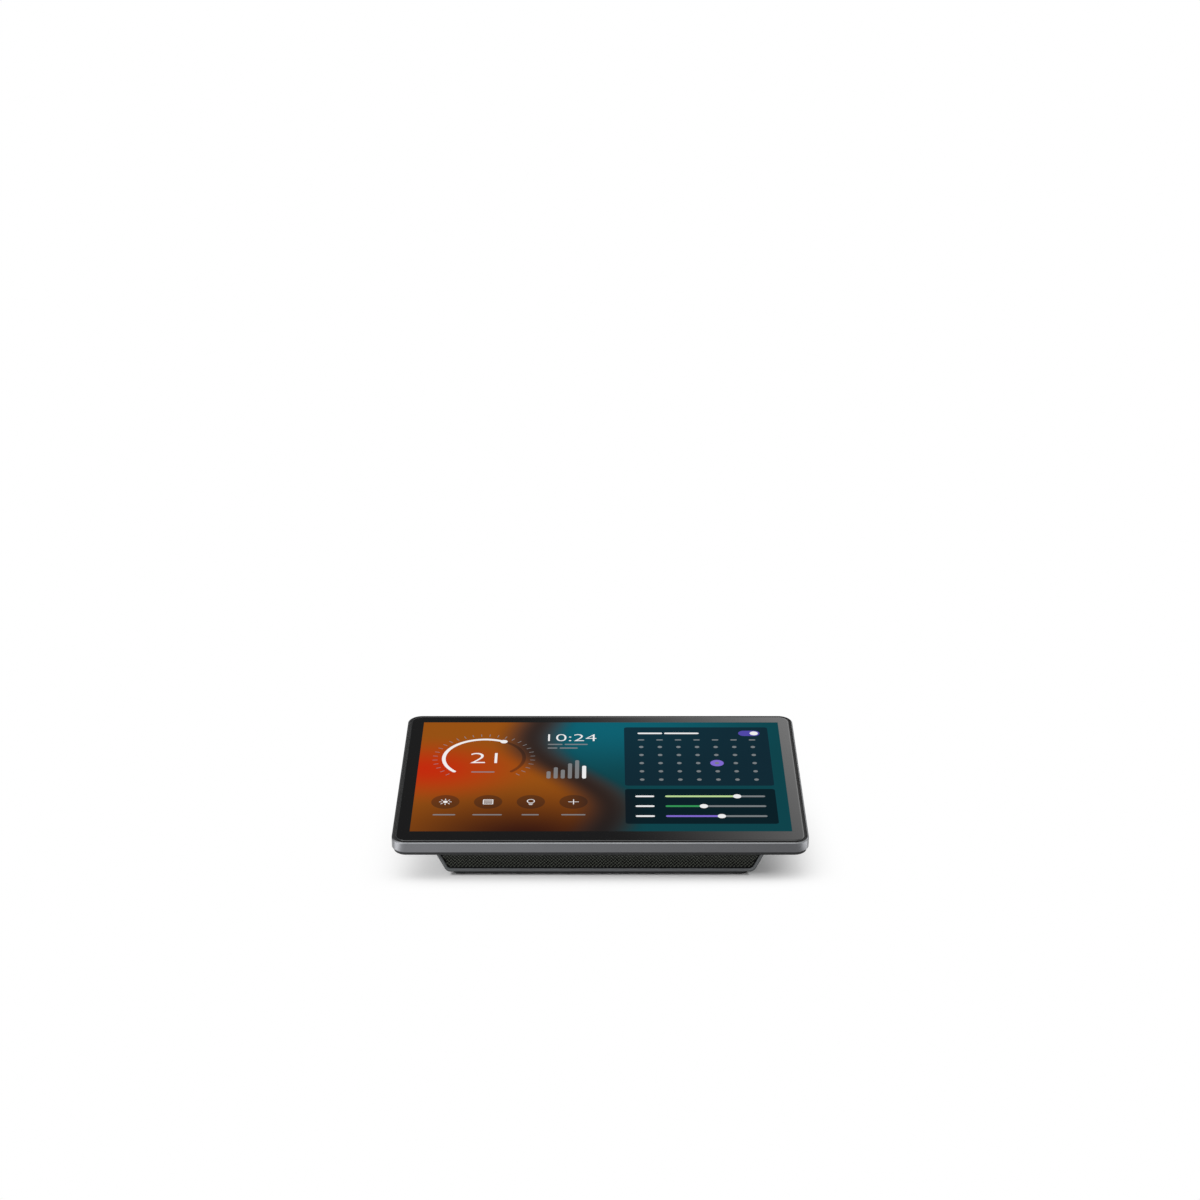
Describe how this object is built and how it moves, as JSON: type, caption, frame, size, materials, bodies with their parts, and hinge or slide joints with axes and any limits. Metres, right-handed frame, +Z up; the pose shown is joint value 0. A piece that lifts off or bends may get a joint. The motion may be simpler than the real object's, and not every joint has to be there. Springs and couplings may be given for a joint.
{
  "type": "desk touch console",
  "caption": "Desk touch console: a sloped glass touch screen in a slim metal frame on a drafted wedge base with a woven speaker grille and a rear cable bay with a drop-down door.",
  "frame": {"origin": "on the desk, under the middle of the console's bounding box", "axes": "+X to the user's right along the screen's long side, +Y away from the user, +Z up; the screen faces -Y and up"},
  "size_m": [0.236, 0.1544, 0.0641],
  "materials": {
    "frame_metal": "fine bead-blasted, grey anodised, bright chamfered edge",
    "cover_glass": "gloss, black printed border round the lit picture area",
    "gasket_rubber": "matt black",
    "sensor_glass": "clear film on glass",
    "display_glass": "dark polarised glass",
    "light_guide": "clear white acrylic",
    "tray_steel": "plain pressed sheet",
    "dark_plastic": "fine spark-eroded texture",
    "base_plastic": "fine spark-eroded texture, soft sheen",
    "screw_steel": "zinc plated",
    "screw_black": "black oxide",
    "flex_film": "amber polyimide film",
    "antenna_board": "black lacquered board with copper track",
    "foot_rubber": "matt moulded",
    "grille_mesh": "fine woven mesh, matt charcoal coat",
    "speaker_plastic": "moulded",
    "magnet_steel": "nickel plated",
    "surround_rubber": "soft moulded roll",
    "cone_pulp": "pressed black pulp",
    "ballast_steel": "plain blackened steel",
    "circuit_board": "green solder mask",
    "brass": "turned",
    "shield_tin": "tinned sheet",
    "thermal_pad": "soft grey-blue silicone",
    "spreader_aluminium": "extruded, plain",
    "connector_plastic": "moulded",
    "lock_steel": "plain sheet",
    "gold_contacts": "gold plated",
    "light_pipe": "clear moulded",
    "socket_steel": "nickel-plated sheet",
    "button_plastic": "moulded"
  },
  "bodies": {
    "console": {"mid_frame": "frame_metal", "cover_glass": "cover_glass", "glass_gasket": "gasket_rubber", "touch_sensor": "sensor_glass", "lcd_panel": "display_glass", "light_guide": "light_guide", "backlight_tray": "tray_steel", "rear_cover": "dark_plastic", "head_screws": "screw_steel", "display_flex": "flex_film", "touch_flex": "flex_film", "radio_antenna_left": "antenna_board", "radio_antenna_right": "antenna_board", "base_shell": "base_plastic", "base_plate": "dark_plastic", "base_screws": "screw_black", "foot_front_left": "foot_rubber", "foot_front_right": "foot_rubber", "foot_rear_left": "foot_rubber", "foot_rear_right": "foot_rubber", "grille_mesh": "grille_mesh", "grille_backing": "dark_plastic", "speaker_basket_left": "speaker_plastic", "speaker_basket_right": "speaker_plastic", "speaker_magnet_left": "magnet_steel", "speaker_magnet_right": "magnet_steel", "speaker_surround_left": "surround_rubber", "speaker_surround_right": "surround_rubber", "ballast_plate": "ballast_steel", "main_board": "circuit_board", "board_screws": "screw_steel", "board_standoffs": "brass", "processor_shield": "shield_tin", "thermal_pad": "thermal_pad", "heat_spreader": "spreader_aluminium", "display_connector": "connector_plastic", "touch_connector": "connector_plastic", "port_panel": "dark_plastic", "lock_plate": "lock_steel", "network_jack": "connector_plastic", "network_contacts": "gold_contacts", "network_lights": "light_pipe", "video_socket": "socket_steel", "video_tongue": "connector_plastic", "accessory_socket": "socket_steel", "accessory_tongue": "connector_plastic", "reset_switch": "connector_plastic"},
    "port_door": {"port_door": "base_plastic"},
    "reset_button": {"reset_button": "button_plastic"},
    "speaker_cone_left": {"speaker_cone_left": "cone_pulp"},
    "speaker_cone_right": {"speaker_cone_right": "cone_pulp"}
  },
  "joints": [
    {"name": "port_door_hinge", "type": "hinge", "parent": "console", "child": "port_door", "pos_m": [0, 0.04765, 0.0043], "axis": [-1, 0, 0], "range_deg": [0, 86]},
    {"name": "reset_button_press", "type": "slide", "parent": "console", "child": "reset_button", "axis": [0, -1, 0], "range_m": [0, 0.0006], "stiffness_N_per_m": 800},
    {"name": "speaker_cone_left_travel", "type": "slide", "parent": "console", "child": "speaker_cone_left", "axis": [0, -0.9632, -0.2689], "range_m": [-0.0006, 0.0006], "stiffness_N_per_m": 900},
    {"name": "speaker_cone_right_travel", "type": "slide", "parent": "console", "child": "speaker_cone_right", "axis": [0, -0.9632, -0.2689], "range_m": [-0.0006, 0.0006], "stiffness_N_per_m": 900}
  ]
}
